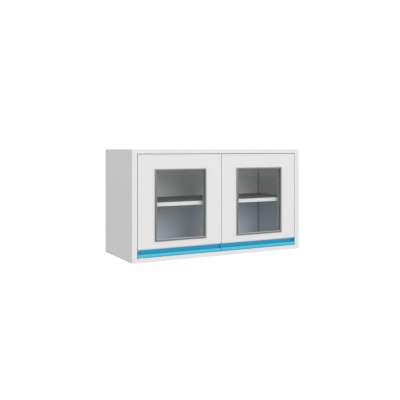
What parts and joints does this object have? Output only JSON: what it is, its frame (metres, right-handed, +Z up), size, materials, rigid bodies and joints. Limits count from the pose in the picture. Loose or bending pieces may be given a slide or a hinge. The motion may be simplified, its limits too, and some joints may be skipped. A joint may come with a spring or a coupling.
{
  "type": "steel wall cabinet",
  "caption": "White steel wall cabinet for a laboratory or clinic, with glazed swing doors, blue finger-pull strips and an adjustable shelf.",
  "frame": {"origin": "centre of the four wall bolt holes, on the plane of the wall behind the cabinet", "axes": "+X to the right along the front, +Y from the front into the wall, +Z up"},
  "size_m": [0.9, 0.356, 0.5],
  "materials": {
    "white_paint": "white powder coat, satin, fine texture",
    "interior_paint": "light grey powder coat, satin, fine texture",
    "blue_plastic": "extruded plastic, semi-gloss",
    "grey_bead": "extruded grey glazing bead, matt",
    "window_glass": "clear float glass with a slight grey-green tint",
    "zinc_steel": "zinc-plated steel",
    "nylon": "natural moulded nylon",
    "ferrite": "sintered ferrite",
    "black_rubber": "moulded rubber"
  },
  "bodies": {
    "cabinet": {"left_side_panel": "white_paint", "right_side_panel": "white_paint", "left_side_liner": "interior_paint", "right_side_liner": "interior_paint", "top_panel": "white_paint", "bottom_panel": "white_paint", "top_liner": "interior_paint", "bottom_liner": "interior_paint", "back_panel": "interior_paint", "back_panel_rivets": "zinc_steel", "upper_hanging_rail": "zinc_steel", "lower_hanging_rail": "zinc_steel", "shelf": "interior_paint", "shelf_clips": "zinc_steel", "top_pivot_anchors": "zinc_steel", "bottom_pivot_anchors": "zinc_steel", "top_pivot_pins": "zinc_steel", "bottom_pivot_pins": "zinc_steel", "thrust_washers": "nylon", "catch_housings": "nylon", "catch_pole_plates": "zinc_steel", "catch_magnets": "ferrite", "catch_screws": "zinc_steel", "door_stop_bracket": "white_paint", "stop_buffers": "black_rubber", "stop_screws": "zinc_steel"},
    "left_door": {"left_door_skin": "white_paint", "left_door_cover": "white_paint", "left_door_glass": "window_glass", "left_door_gasket": "grey_bead", "left_door_stiffeners": "zinc_steel", "left_door_handle_strip": "blue_plastic", "left_door_handle_end_caps": "blue_plastic", "left_door_top_pivot_block": "nylon", "left_door_bottom_pivot_block": "nylon", "left_door_strike_plate": "zinc_steel", "left_door_strike_rivets": "zinc_steel", "left_door_cover_screws": "zinc_steel"},
    "right_door": {"right_door_skin": "white_paint", "right_door_cover": "white_paint", "right_door_glass": "window_glass", "right_door_gasket": "grey_bead", "right_door_stiffeners": "zinc_steel", "right_door_handle_strip": "blue_plastic", "right_door_handle_end_caps": "blue_plastic", "right_door_top_pivot_block": "nylon", "right_door_bottom_pivot_block": "nylon", "right_door_strike_plate": "zinc_steel", "right_door_strike_rivets": "zinc_steel", "right_door_cover_screws": "zinc_steel"}
  },
  "joints": [
    {"name": "left_door_hinge", "type": "hinge", "parent": "cabinet", "child": "left_door", "pos_m": [-0.4045, -0.3425, 0], "axis": [0, 0, -1], "range_deg": [0, 110]},
    {"name": "right_door_hinge", "type": "hinge", "parent": "cabinet", "child": "right_door", "pos_m": [0.4045, -0.3425, 0], "axis": [0, 0, 1], "range_deg": [0, 110]}
  ]
}
